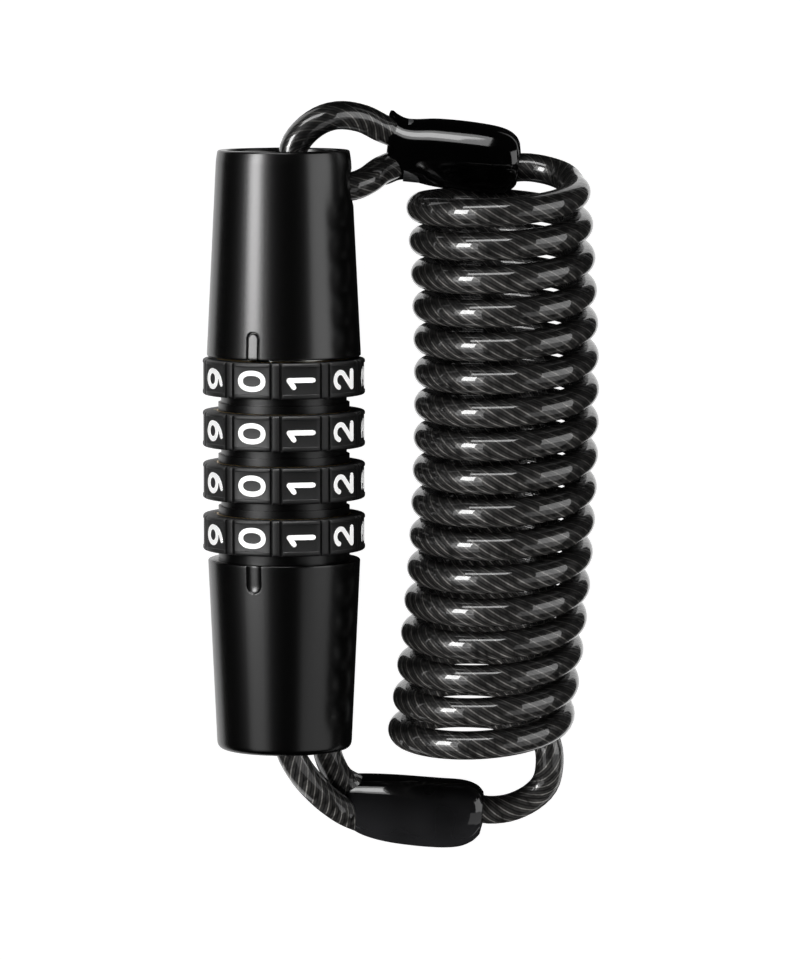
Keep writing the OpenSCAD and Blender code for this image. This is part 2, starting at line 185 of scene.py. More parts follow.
def grey(value):
    return (value, value, value, 1)


def meshObject(name, points, faces, material=None):
    mesh = bpy.data.meshes.new(name)
    mesh.from_pydata([tuple(p) for p in points], [], [tuple(f) for f in faces])
    mesh.update()
    made = bpy.data.objects.new(name, mesh)
    bpy.context.scene.collection.objects.link(made)
    if material:
        mesh.materials.append(material)
    return made


def smoothShade(made, angle=35):
    made.data.shade_smooth()
    made.data.set_sharp_from_angle(angle=radians(angle))


def cleanNormals(made, gap=0.001):
    edit = bmesh.new()
    edit.from_mesh(made.data)
    bmesh.ops.remove_doubles(edit, verts=edit.verts, dist=gap * mm)
    bmesh.ops.recalc_face_normals(edit, faces=edit.faces)
    edit.to_mesh(made.data)
    edit.free()


def applyModifiers(made):
    mesh = bpy.data.meshes.new_from_object(made.evaluated_get(bpy.context.evaluated_depsgraph_get()))
    made.modifiers.clear()
    made.data = mesh


def tubeFaces(rows, sides):
    walls = []
    for i in range(rows - 1):
        for j in range(sides):
            here, after = i * sides + j, i * sides + (j + 1) % sides
            walls.append((here, after, after + sides, here + sides))
    return walls, [tuple(range(sides - 1, -1, -1)), tuple((rows - 1) * sides + j for j in range(sides))]


def throughPoints(points, step, splits=12):
    # a smooth curve through the points, cut again at even steps along it
    dense, last = [], len(points) - 1
    for i in range(last):
        a, b, c, d = (Vector(points[min(max(j, 0), last)]) for j in range(i - 1, i + 3))
        for j in range(splits):
            t = j / splits
            dense.append(0.5 * (2 * b + (c - a) * t + (2 * a - 5 * b + 4 * c - d) * t * t
                                + (3 * b - a - 3 * c + d) * t ** 3))
    dense.append(Vector(points[-1]))
    line = np.array(dense)
    run = runAlong(line)
    spots = np.linspace(0, run[-1], int(run[-1] / step) + 1)
    return np.stack([np.interp(spots, run, line[:, k]) for k in range(3)], axis=1), run[-1]


def runAlong(line):
    return np.concatenate([[0], np.cumsum(np.linalg.norm(np.diff(line, axis=0), axis=1))])


cable = {
    "thickness": 3.5, "step": 0.8, "sides": 24,
    "ferrule": 10, "strandGap": 1.76, "cutShort": 1, "straight": 0.8,
    "turns": 17, "firstTurn": -35.1, "lastTurn": 29.86, "enters": -195, "leaves": 90, "turnStep": 15,
    "bow": 0.0018, "crest": 6, "lean": 1.35, "leanChange": -0.007,
    "strands": 8, "strandSpacing": 1.6, "wires": 3,
}
plugCrimp = {"middle": (20, -0.75, 3.2), "tilt": -5.5}
baseCrimp = {"middle": (15.5, -8.7, 3.5), "tilt": -5.5}


def onCrimp(crimp, along, across):
    turn = radians(crimp["tilt"])
    x, y, z = crimp["middle"]
    return (x + along * cos(turn) - across * sin(turn), y + along * sin(turn) + across * cos(turn), z)


def eyeStrands(crimp, side):
    half, gap = cable["ferrule"] / 2, cable["strandGap"] * side
    past = half + cable["straight"]
    cutEnd = [onCrimp(crimp, along, gap) for along in (half - cable["cutShort"], 0, -half, -past)]
    running = [onCrimp(crimp, along, -gap) for along in (-past, -half, 0, half, past)]
    return cutEnd, running


def cableRoute():
    plugCut, plugRun = eyeStrands(plugCrimp, 1)
    baseCut, baseRun = eyeStrands(baseCrimp, -1)
    plugRoute = plugCut + [
        (12.2, 2.4, 4.3), (9.7, 3.7, 6.5), (6.9, 4.2, 8.7), (4.5, 3.6, 9.7), (2.4, 2.0, 10), (1.2, 0, 10),
        (1.5, -2.1, 10), (3.1, -4.0, 10), (5.6, -4.7, 10), (8.4, -4.5, 9.7), (10.3, -3.8, 8.3),
        (12.0, -2.7, 5.5)] + plugRun + [
        (27.7, -2.6, 3.3), (29.9, -2.4, 3.4), (32.2, -2.7, 4.0), (34.2, -3.3, 5.4), (35.2, -4.0, 7.4),
        (35.5, -4.6, 9.5)]
    baseRoute = baseCut + [
        (7.6, -8.8, 5.3), (5.9, -7.3, 7.8), (4.2, -5.4, 10.4), (2.3, -2.9, 12.6), (0.9, -0.3, 13.6),
        (0.3, 2.2, 13.9), (0.4, 4.4, 13.8), (1.2, 6.3, 13.0), (2.7, 7.2, 11.5), (4.2, 6.3, 10.0),
        (5.0, 4.4, 9.2), (5.1, 2.2, 9.1), (5.2, -0.3, 8.8), (5.9, -2.7, 7.4), (7.2, -4.9, 5.1)] + baseRun + [
        (23.3, -8.3, 3.5), (25.4, -8.8, 3.4), (28.2, -8.5, 3.2), (30.9, -7.2, 3.0), (32.6, -5.2, 3.2),
        (33.0, -2.0, 4.2), (32.4, 0.3, 3.8), (30.7, 1.4, 3.0), (28.5, 1.9, 2.4)]
    fromPlug = [(x, y + plugEnd, z) for x, y, z in plugRoute]
    fromBase = [(x, y + baseEnd, z) for x, y, z in baseRoute]
    # the coil bows away from the barrel near its middle, and the lower side of each turn leans towards +Y
    middle = coilHigh.z / mm / 2
    radius = middle - cable["thickness"] / 2
    out = coilHigh.x / mm - middle
    pitch = (cable["lastTurn"] - cable["firstTurn"]) / (cable["turns"] - 1)
    coil = []
    for angle in range(cable["enters"], 360 * (cable["turns"] - 1) + cable["leaves"] + 1, cable["turnStep"]):
        y = cable["firstTurn"] + pitch * angle / 360
        x = out - cable["bow"] * (y - cable["crest"]) ** 2 + radius * sin(radians(angle))
        lean = (cable["lean"] + cable["leanChange"] * y) * (1 - cos(radians(angle)))
        coil.append((x, y + lean, middle + radius * cos(radians(angle))))
    return fromBase + coil + fromPlug[::-1]


# the strand's colour, from a painted highlight on its crown to painted shade in the line between strands, and
# how its finish varies
cableFinish = {
    "crownHighlight": (0.34, 0.33, 0.31), "between": (0.003, 0.003, 0.004), "tint": (1, 0.96, 0.92),
    "shades": ((0.1, 0.2), (0.2, 0.06), (0.75, 0.04)),
    "strandStep": 3.7, "alongStep": 0.9,
    "glintPatches": {"From Min": 0.3, "From Max": 0.7, "To Min": 0.1, "To Max": 1.5},
    "wireBright": 1.15, "wireShade": 0.6, "roundness": 3, "wireDepth": 0.15, "bump": 0.00008,
}


def cableMaterial():
    finish = cableFinish
    material, nodes, links, shader = newMaterial(
        "smokeCoveredSteel", Coat_Weight=1.0, Coat_Roughness=0.03, Coat_IOR=1.52, Metallic=0.15,
        Roughness=0.42, Specular_IOR_Level=0.25)

    def times(value, factor):
        return maths(nodes, links, "MULTIPLY", value, factor)

    def less(value, taken):
        return maths(nodes, links, "SUBTRACT", value, taken)

    def offMiddle(value):
        return maths(nodes, links, "ABSOLUTE", times(less(maths(nodes, links, "FRACT", value), 0.5), 2))

    uv = addNode(nodes, "ShaderNodeUVMap", {"uv_map": "alongCable"})
    split = nodes.new("ShaderNodeSeparateXYZ")
    links.new(uv.outputs[0], split.inputs[0])
    along, around = split.outputs[0], split.outputs[1]
    lay = less(maths(nodes, links, "DIVIDE", along, cable["strandSpacing"]), times(around, cable["strands"]))
    strand = offMiddle(lay)
    wire = offMiddle(times(lay, cable["wires"]))
    # the ramp paints a highlight on each strand's crown and paints shade into the line between strands
    colour = nodes.new("ShaderNodeValToRGB")
    colour.color_ramp.elements[0].color = (*finish["crownHighlight"], 1)
    colour.color_ramp.elements[1].color = (*finish["between"], 1)
    for place, shade in finish["shades"]:
        colour.color_ramp.elements.new(place).color = (*(shade * part for part in finish["tint"]), 1)
    links.new(strand, colour.inputs[0])
    # each strand, with its painted highlight, is a little brighter or duller than its neighbour, and changes
    # along its length
    which = nodes.new("ShaderNodeCombineXYZ")
    links.new(times(maths(nodes, links, "FLOOR", lay), finish["strandStep"]), which.inputs[0])
    links.new(times(along, finish["alongStep"]), which.inputs[1])
    patches = addNode(nodes, "ShaderNodeTexNoise", Scale=1.0, Detail=3.0)
    links.new(which.outputs[0], patches.inputs["Vector"])
    # patches that dim or brighten the painted strand highlights along the cable
    glintPatches = addNode(nodes, "ShaderNodeMapRange")
    for socket, value in finish["glintPatches"].items():
        glintPatches.inputs[socket].default_value = value
    links.new(patches.outputs[0], glintPatches.inputs[0])
    shaded = addNode(nodes, "ShaderNodeVectorMath", {"operation": "SCALE"})
    links.new(colour.outputs[0], shaded.inputs[0])
    # each wire in a strand is painted darker towards its edges: painted shade between the wires
    wires = less(finish["wireBright"], times(wire, finish["wireShade"]))
    links.new(times(glintPatches.outputs[0], wires), shaded.inputs["Scale"])
    links.new(shaded.outputs[0], shader.inputs["Base Color"])
    crowned = less(1, maths(nodes, links, "POWER", strand, finish["roundness"]))
    bump = addNode(nodes, "ShaderNodeBump", Strength=0.5, Distance=finish["bump"])
    links.new(less(crowned, times(wire, finish["wireDepth"])), bump.inputs["Height"])
    links.new(bump.outputs[0], shader.inputs["Normal"])
    return material


def makeCable():
    line, length = throughPoints(cableRoute(), cable["step"])
    count, sides = len(line), cable["sides"]
    along = np.gradient(line, axis=0)
    along /= np.linalg.norm(along, axis=1)[:, None]
    side = np.cross(along[0], (0.3, 0.2, 1))  # any first direction that isn't along the cable
    points, runs = [], runAlong(line)
    for i in range(count):
        side = side - along[i] * (side @ along[i])
        side /= np.linalg.norm(side)
        other = np.cross(along[i], side)
        for j in range(sides):
            a = 2 * pi * j / sides
            points.append(line[i] + cable["thickness"] / 2 * (cos(a) * side + sin(a) * other))
    rings = np.array(points) * mm
    walls, ends = tubeFaces(count, sides)
    made = meshObject("cable", rings, walls + ends, cableMaterial())
    # u is the distance along the cable, and v the share of the way round it
    uv = made.data.uv_layers.new(name="alongCable")
    for number in range(len(walls)):
        i, j = divmod(number, sides)
        for corner, loop in enumerate(made.data.polygons[number].loop_indices):
            uv.data[loop].uv = (runs[i + (corner in (2, 3))], (j + (corner in (1, 2))) / sides)
    smoothShade(made, 60)
    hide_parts("plug_cable_end", "base_cable_end", "cable_coil")
    # the rings are moved onto their middles while the transform is baked, then set back where they were
    made.data.vertices.foreach_set("co", np.repeat(line * mm, sides, axis=0).ravel())
    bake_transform(made)
    made.data.vertices.foreach_set("co", rings.ravel())
    made.data.update()
    print("cable:", round(length), "mm,", len(made.data.polygons), "faces")
    return made, line * mm


# each section: its place along the crimp, its offset across, half its width, half its thickness and
# how deeply its edge is notched
plugCover = {
    "sections": [
        (-7.5, 0.1, 4.6, 2.5, 0.35), (-7.1, 0.1, 4.6, 2.55, 0.3), (-6.5, 0.05, 4.3, 2.6, 0.2),
        (-5.4, 0.1, 3.85, 2.75, 0.1), (-4, 0.1, 3.85, 2.9, 0), (-1.5, 0.05, 4.2, 3.0, 0),
        (2, -0.05, 4.35, 3.1, 0), (5.5, -0.15, 4.25, 3.05, 0), (7.4, -0.25, 3.95, 2.85, 0),
        (8.5, -0.3, 3.3, 2.5, 0), (9, -0.4, 2.6, 2.1, 0)],
    "boxiness": 1.95, "sides": 64, "rings": 70}
baseCover = {
    "sections": [
        (-8.6, 0.6, 2.9, 3.0, 0.8), (-7.8, 0.5, 3.25, 3.2, 0.3), (-5.5, 0.1, 3.9, 3.25, 0),
        (-2, -0.1, 4.3, 3.3, 0), (3, -0.1, 4.4, 3.35, 0), (6.3, 0.1, 4.25, 3.25, 0),
        (8.1, 0.3, 3.6, 2.9, 0), (9, 0.4, 2.7, 2.4, 0)],
    "boxiness": 2.0, "sides": 64, "rings": 70}
# how each end closes, and how the notch dips between the strands and, less deeply, at the corners
coverEnds = {
    "lip": (0.45, 0.72, 0.88, 0.96), "round": 0.5, "dipWidth": 0.62, "cornerFrom": 0.8, "cornerDip": 0.5}


def makeCover(name, cover, crimp, end, material, body, node):
    # the sections are joined by a smooth curve in each of their measures
    knots = np.array(cover["sections"])
    spots = np.linspace(0, len(knots) - 1, cover["rings"])
    steps = []
    for values in knots.T:
        curve, _ = throughPoints([(i, value, 0) for i, value in enumerate(values)], 0.05)
        steps.append(np.interp(spots, curve[:, 0], curve[:, 1]))
    sections = list(zip(*steps))
    tilt = radians(crimp["tilt"])
    x0, y0, z0 = crimp["middle"]
    points, sides = [], cover["sides"]

    def squarish(share):
        return abs(share) ** (2 / cover["boxiness"]) * (1 if share > 0 else -1)

    def ring(along, middle, wide, thick, notch, shrink=1.0):
        for j in range(sides):
            a = 2 * pi * j / sides
            u = squarish(cos(a)) * wide * shrink
            w = squarish(sin(a)) * thick * shrink
            share = abs(u) / wide
            dip = max(0, 1 - (share / coverEnds["dipWidth"]) ** 2)
            corner = max(0, (share - coverEnds["cornerFrom"]) / (1 - coverEnds["cornerFrom"])) ** 2
            lengthways = along + notch * (dip + coverEnds["cornerDip"] * corner)
            across = middle + u
            points.append(Vector((x0 + lengthways * cos(tilt) - across * sin(tilt),
                                  y0 + end + lengthways * sin(tilt) + across * cos(tilt), z0 + w)) * mm)

    for share in coverEnds["lip"]:
        ring(*sections[0], share)
    for section in sections:
        ring(*section)
    for share in coverEnds["lip"][::-1]:
        along, *rest = sections[-1]
        ring(along + coverEnds["round"] * (1 - share), *rest, share)
    walls, ends = tubeFaces(len(points) // sides, sides)
    made = meshObject(name, points, walls + ends, material)
    cleanNormals(made)
    smoothShade(made, 60)
    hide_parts(node)
    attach(made, body)
    print(name + ":", len(made.data.polygons), "faces")
    return made


def rounded(corners, steps=4):
    # each corner is its radius, its place along Y and its fillet
    loop = []
    for i, (radius, y, fillet) in enumerate(corners):
        here = Vector((radius, y))
        if not fillet:
            loop.append(here)
            continue
        before = (Vector(corners[i - 1][:2]) - here).normalized() * fillet
        after = (Vector(corners[(i + 1) % len(corners)][:2]) - here).normalized() * fillet
        for j in range(steps + 1):
            t = j / steps
            loop.append(here + before * (1 - t) ** 2 + after * t ** 2)
    return loop


def fineColumns(fine=0.4, coarse=2.5):
    # angles round a housing, close together beside the mark
    reach = markRows["reach"]
    near = np.arange(-reach, reach + fine / 2, fine)
    far = np.linspace(reach, 360 - reach, round((360 - 2 * reach) / coarse) + 1)[1:-1]
    return [codeAngle + a for a in (*near, *far)]


def lathe(name, loop, columns, dent, material):
    points = []
    for radius, y in loop:
        for a in columns:
            r = radius - dent(radius, y, a)
            points.append((r * sin(radians(a)), y, axisHeight + r * cos(radians(a))))
    wide, rows = len(columns), len(loop)
    faces = []
    for i in range(rows):
        near, far = i * wide, (i + 1) % rows * wide
        faces += [(near + j, near + (j + 1) % wide, far + (j + 1) % wide, far + j) for j in range(wide)]
    made = meshObject(name, np.array(points) * mm, faces, material)
    cleanNormals(made, 0.0001)
    return made


def rod(name, start, end, radius, sides=64):
    start, end = Vector(start) * mm, Vector(end) * mm
    turn = (end - start).to_track_quat("Z", "Y").to_matrix().to_4x4()
    edit = bmesh.new()
    bmesh.ops.create_cone(edit, cap_ends=True, segments=sides, radius1=radius * mm, radius2=radius * mm,
                          depth=(end - start).length)
    edit.transform(Matrix.Translation((start + end) / 2) @ turn)
    made = meshObject(name, [], [])
    edit.to_mesh(made.data)
    edit.free()
    return made


def combine(made, other, operation):
    change = made.modifiers.new("combine", "BOOLEAN")
    change.operation = operation
    change.solver = "EXACT"
    change.object = other
    applyModifiers(made)
    bpy.data.objects.remove(other)


# the bar is its place across, its distance from the end and its radius
plugShape = {
    "mouth": 9.5, "end": 8.25, "rim": 1.4, "rimEnd": 8.12, "cavity": 7.5, "recess": 7.05, "recessDepth": 7,
    "web": 3.5, "hole": 3.02, "sideHole": 2.3, "sideHoleIn": 4.6, "sideHoleReach": (4, 20),
    "bar": (5.7, 1.4, 1.25), "barInWall": 0.3, "pinHole": 0.82}
# the anchor hole's middle is its place across, its distance from the end and its height above the axis
baseShape = {
    "mouth": 9.4, "end": 8.3, "round": 1.0, "cavity": 7.5, "recess": 7.1, "recessDepth": 9.5, "web": 5.5,
    "hole": 4.52, "pinHole": 1.02, "anchor": (0.6, 3.7, -0.6), "anchorReach": 7.52, "anchorHole": 1.52}
# each mark: half its width, the length of its straight sides, its depth and how its floor curves
archMark = {"half": 0.7, "straight": 2.65, "line": 0.17, "depth": 0.3, "fall": 0.6}
fluteMark = {"half": 1.0, "straight": 2.5, "depth": 0.32, "fall": 0.7}
markRows = {"first": 0.4, "last": 4.4, "gap": 0.08, "reach": 8, "skin": 0.5}


def offMark(radius, mouth, a, along):
    away = abs(a - codeAngle) > markRows["reach"]
    return away or radius < mouth - markRows["skin"] or along > markRows["last"]


def archDent(radius, y, a):
    across, along = radius * radians(a - codeAngle), y - plugMouth
    if offMark(radius, plugShape["mouth"], a, along):
        return 0
    off = abs(sqrt(across ** 2 + max(0, along - archMark["straight"]) ** 2) - archMark["half"])
    return archMark["depth"] * max(0, 1 - (off / archMark["line"]) ** 2) ** archMark["fall"]


def fluteDent(radius, y, a):
    across, along = radius * radians(a - codeAngle), baseMouth - y
    if offMark(radius, baseShape["mouth"], a, along):
        return 0
    out = (across ** 2 + max(0, along - fluteMark["straight"]) ** 2) / fluteMark["half"] ** 2
    return fluteMark["depth"] * max(0, 1 - out) ** fluteMark["fall"]


def mouthCorners(shape, mouth, inward):
    length = plugEnd - plugMouth if inward > 0 else baseMouth - baseEnd
    slope = (shape["mouth"] - shape["end"]) / length
    corners = [(shape["cavity"], mouth, 0.15), (shape["mouth"], mouth, 0.25)]
    corners += [(shape["mouth"] - slope * t, mouth + inward * t, 0)
                for t in np.arange(markRows["first"], markRows["last"], markRows["gap"])]
    return corners, slope


def makePlugHousing(material):
    shape = plugShape
    rimStart = plugEnd - shape["rim"]
    webTop = plugEnd - shape["recessDepth"]
    webBottom = webTop - shape["web"]
    corners, slope = mouthCorners(shape, plugMouth, 1)
    corners += [(shape["mouth"] - slope * (rimStart - plugMouth), rimStart, 0.12),
                (shape["rimEnd"], plugEnd, 0.3), (shape["recess"], plugEnd, 0.25),
                (shape["recess"], webTop, 0.4), (shape["hole"], webTop, 0), (shape["hole"], webBottom, 0),
                (shape["cavity"], webBottom, 0.3)]
    made = lathe("plugHousing", rounded(corners), fineColumns(), archDent, material)
    across, fromEnd, thick = shape["bar"]
    reach = sqrt((shape["recess"] + shape["barInWall"]) ** 2 - across ** 2)
    barEnds = [(across, plugEnd - fromEnd, axisHeight + up) for up in (-reach, reach)]
    combine(made, rod("bar", *barEnds, thick), "UNION")
    hole = plugEnd - shape["sideHoleIn"]
    holeEnds = [(out, hole, axisHeight) for out in shape["sideHoleReach"]]
    combine(made, rod("sideHole", *holeEnds, shape["sideHole"]), "DIFFERENCE")
    cutPinHole(made, (webTop + webBottom) / 2, shape["pinHole"])
    finishHousing(made, "plug_housing", "plug")


def makeBaseHousing(material):
    shape = baseShape
    webBottom = baseEnd + shape["recessDepth"]
    webTop = webBottom + shape["web"]
    corners, _ = mouthCorners(shape, baseMouth, -1)
    corners += [(shape["end"], baseEnd, shape["round"]), (shape["recess"], baseEnd, 0.15),
                (shape["recess"], webBottom, 0.4), (shape["hole"], webBottom, 0), (shape["hole"], webTop, 0),
                (shape["cavity"], webTop, 0.3)]
    made = lathe("baseHousing", rounded(corners, 6), fineColumns(), fluteDent, material)
    cutPinHole(made, (webTop + webBottom) / 2, shape["pinHole"])
    across, fromEnd, up = shape["anchor"]
    middle = Vector((across, baseEnd + fromEnd, axisHeight + up))
    reach = Vector((1, 0, 1)).normalized() * shape["anchorReach"]
    combine(made, rod("anchorHole", middle - reach, middle + reach, shape["anchorHole"]), "DIFFERENCE")
    finishHousing(made, "base_housing", "barrel")


def cutPinHole(made, y, radius):
    below = -5  # clear of the housing's underside
    combine(made, rod("pinHole", (0, y, axisHeight), (0, y, below), radius), "DIFFERENCE")


def finishHousing(made, node, body):
    cleanNormals(made, 0.0001)
    smoothShade(made, 32)
    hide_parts(node)
    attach(made, body)
    print(made.name + ":", len(made.data.polygons), "faces")


# the ring's radii, its rows along the barrel, the angles from the middle of a pad, the number of pads,
# and the distance in metres at which neighbouring pieces are joined
dial = {
    "outer": 10, "flat": 9.72, "groove": 9.6, "bore": 8.32,
    "half": 2.2, "round": 0.28, "padLow": -1.6, "padHigh": 1.7, "step": 0.06, "edge": 0.035,
    "padEdge": 13.5, "grooveFrom": 13.8, "grooveTo": 15.4, "count": 10, "merge": 0.000004}
dialColumns = (-18, -15.75, -15.3, -13.9, -13.45, -10.5, -7, -3.5, 0,
               3.5, 7, 10.5, 13.45, 13.9, 15.3, 15.75, 18)


def dialRadius(angle, t):
    side = abs(angle)
    if dial["grooveFrom"] < side < dial["grooveTo"]:
        return dial["groove"]
    if side < dial["padEdge"] and dial["padLow"] <= t <= dial["padHigh"]:
        return dial["flat"] / cos(radians(side))
    past = max(0, abs(t) - dial["half"] + dial["round"])
    return dial["outer"] - dial["round"] + sqrt(max(0, dial["round"] ** 2 - past ** 2))


def dialSector():
    high = dial["half"]
    edge = [high - dial["round"] * (1 - sin(radians(a))) for a in (0, 22.5, 45, 67.5, 90)]
    pad = [dial["padLow"] - dial["step"], dial["padLow"], 0, dial["padHigh"], dial["padHigh"] + dial["step"]]
    rows = [-t for t in edge[::-1]] + pad + edge
    points, deep = [], len(rows) + 2
    for angle in dialColumns:
        loop = [(dialRadius(angle, t), t) for t in rows] + [(dial["bore"], high), (dial["bore"], -high)]
        points += [(r * sin(radians(angle)), t, r * cos(radians(angle))) for r, t in loop]
    faces = []
    for i in range(len(dialColumns) - 1):
        near, far = i * deep, (i + 1) * deep
        faces += [(near + j, far + j, far + (j + 1) % deep, near + (j + 1) % deep) for j in range(deep)]
    return meshObject("dialSector", np.array(points) * mm, faces)


# the digits in millimetres, apart from the distance in metres at which points are joined
figure = {"stroke": 0.62, "lift": 0.05, "sunk": 0.02, "cap": 8, "weld": 1e-7}


def bend(middle, across, up, start, stop, steps=18):
    return [(middle[0] + across * cos(radians(start + (stop - start) * i / steps)),
             middle[1] + up * sin(radians(start + (stop - start) * i / steps))) for i in range(steps + 1)]


def oval(middle, across, up, squareness=1.0, steps=36):
    turn = [2 * pi * i / steps for i in range(steps)]
    return [(middle[0] + across * abs(cos(a)) ** squareness * (1 if cos(a) > 0 else -1),
             middle[1] + up * abs(sin(a)) ** squareness * (1 if sin(a) > 0 else -1)) for a in turn]


def upsideDown(lines):
    return [([(-x, -y) for x, y in line], loop) for line, loop in lines]


# the digits 0 to 9: every stroke is its points and whether it is a loop
six = [(oval((0, -0.58), 0.98, 0.94), True),
       ([(-0.98, -0.5), (-0.88, 0.15), (-0.6, 0.72), (-0.15, 1.15), (0.55, 1.5)], False)]
strokes = [
    [(oval((0, 0), 0.98, 1.5, 0.88), True)],
    [([(0.15, -1.5), (0.15, 1.5)], False), ([(0.15, 1.5), (-0.7, 0.9)], False)],
    [(bend((0, 0.58), 0.92, 0.92, 165, -38) + [(-0.95, -1.5)], False), ([(-0.95, -1.5), (1, -1.5)], False)],
    [(bend((-0.1, 0.76), 0.8, 0.74, 150, -90), False), (bend((-0.1, -0.7), 0.98, 0.8, 90, -150), False)],
    [([(0.45, -1.5), (0.45, 1.5)], False), ([(0.45, 1.5), (-1, -0.65)], False),
     ([(-1, -0.65), (1, -0.65)], False)],
    [([(0.85, 1.5), (-0.7, 1.5)], False), ([(-0.7, 1.5), (-0.82, 0.2)], False),
     ([(-0.82, 0.2)] + bend((-0.05, -0.55), 1.0, 0.95, 115, -145), False)],
    six,
    [([(-0.95, 1.5), (0.95, 1.5)], False), ([(0.95, 1.5), (-0.3, -1.5)], False)],
    [(oval((0, 0.76), 0.78, 0.74), True), (oval((0, -0.7), 0.98, 0.8), True)],
    upsideDown(six)]


def strokeSolid(line, loop):
    edit = bmesh.new()
    half, count, cap = figure["stroke"] / 2, len(line), figure["cap"]
    low, high = dial["flat"] - figure["sunk"], dial["flat"] + figure["lift"]
    spots = [Vector(p) for p in line]

    def place(spot):
        return edit.verts.new(Vector((-spot.y, spot.x, low)) * mm)

    sides = []
    for i, spot in enumerate(spots):
        before = spots[i - 1] if loop or i else spot
        after = spots[(i + 1) % count] if loop or i < count - 1 else spot
        along = (after - before).normalized()
        off = Vector((-along.y, along.x)) * half
        sides.append((place(spot + off), place(spot - off)))
    for i in range(count if loop else count - 1):
        a, b = sides[i], sides[(i + 1) % count]
        edit.faces.new((a[0], a[1], b[1], b[0]))
    if not loop:
        for end, inner, (left, right) in ((spots[0], spots[1], sides[0]),
                                          (spots[-1], spots[-2], sides[-1][::-1])):
            away = (end - inner).normalized()
            side = Vector((away.y, -away.x))
            arc = [place(end + (side * cos(pi * j / cap) + away * sin(pi * j / cap)) * half)
                   for j in range(1, cap)]
            edit.faces.new([right, left, *arc[::-1]])
    grown = bmesh.ops.extrude_face_region(edit, geom=edit.faces[:])["geom"]
    for vert in [item for item in grown if isinstance(item, bmesh.types.BMVert)]:
        vert.co.z = high * mm
    bmesh.ops.remove_doubles(edit, verts=edit.verts, dist=figure["weld"])
    bmesh.ops.recalc_face_normals(edit, faces=edit.faces)
    made = meshObject("stroke", [], [])
    edit.to_mesh(made.data)
    edit.free()
    return made


def makeFigures():
    collection = bpy.data.collections.new("figures")
    for number, lines in enumerate(strokes):
        first, *others = [strokeSolid(line, loop) for line, loop in lines]
        for other in others:
            combine(first, other, "UNION")
        first.name = f"figure{number}"
        collection.objects.link(first)
        bpy.context.scene.collection.objects.unlink(first)
    return collection


def roundTree(name, material):
    # sets the pieces of a collection round the Y axis, one at each step
    tree = bpy.data.node_groups.new(name, "GeometryNodeTree")
    sockets = {}
    for label, kind in (("Pieces", "Collection"), ("Count", "Int"), ("First Angle", "Float"),
                        ("Middle", "Vector")):
        socket = tree.interface.new_socket(label, in_out="INPUT", socket_type="NodeSocket" + kind)
        sockets[label] = socket.identifier
    tree.interface.new_socket("Geometry", in_out="OUTPUT", socket_type="NodeSocketGeometry")
    nodes, links = tree.nodes, tree.links
    given, result = nodes.new("NodeGroupInput"), nodes.new("NodeGroupOutput")
    pieces = addNode(nodes, "GeometryNodeCollectionInfo")
    pieces.inputs["Separate Children"].default_value = True
    pieces.inputs["Reset Children"].default_value = True
    spots = nodes.new("GeometryNodePoints")
    index = nodes.new("GeometryNodeInputIndex")
    turned = nodes.new("ShaderNodeCombineXYZ")
    step = maths(nodes, links, "DIVIDE", 2 * pi, given.outputs["Count"])
    turn = maths(nodes, links, "MULTIPLY", index.outputs[0], step)
    angle = maths(nodes, links, "ADD", turn, given.outputs["First Angle"])
    placed = addNode(nodes, "GeometryNodeInstanceOnPoints")
    placed.inputs["Pick Instance"].default_value = True
    joined = nodes.new("GeometryNodeRealizeInstances")
    merged = addNode(nodes, "GeometryNodeMergeByDistance", Distance=dial["merge"])
    smooth = nodes.new("GeometryNodeSetShadeSmooth")
    coloured = addNode(nodes, "GeometryNodeSetMaterial", Material=material)
    for start, end in (
            (given.outputs["Pieces"], pieces.inputs["Collection"]),
            (given.outputs["Count"], spots.inputs["Count"]),
            (given.outputs["Middle"], spots.inputs["Position"]),
            (angle, turned.inputs["Y"]),
            (spots.outputs[0], placed.inputs["Points"]),
            (pieces.outputs[0], placed.inputs["Instance"]),
            (index.outputs[0], placed.inputs["Instance Index"]),
            (turned.outputs[0], placed.inputs["Rotation"]),
            (placed.outputs[0], joined.inputs[0]),
            (joined.outputs[0], merged.inputs["Geometry"]),
            (merged.outputs[0], smooth.inputs["Geometry"]),
            (smooth.outputs[0], coloured.inputs["Geometry"]),
            (coloured.outputs[0], result.inputs["Geometry"])):
        links.new(start, end)
    return tree, sockets


def goRound(name, tree, sockets, pieces, middle):
    made = meshObject(name, [], [])
    change = made.modifiers.new("round", "NODES")
    change.node_group = tree
    for label, value in (("Pieces", pieces), ("Count", dial["count"]), ("First Angle", radians(codeAngle)),
                         ("Middle", Vector(middle) * mm)):
        change[sockets[label]] = value
    applyModifiers(made)
    return made


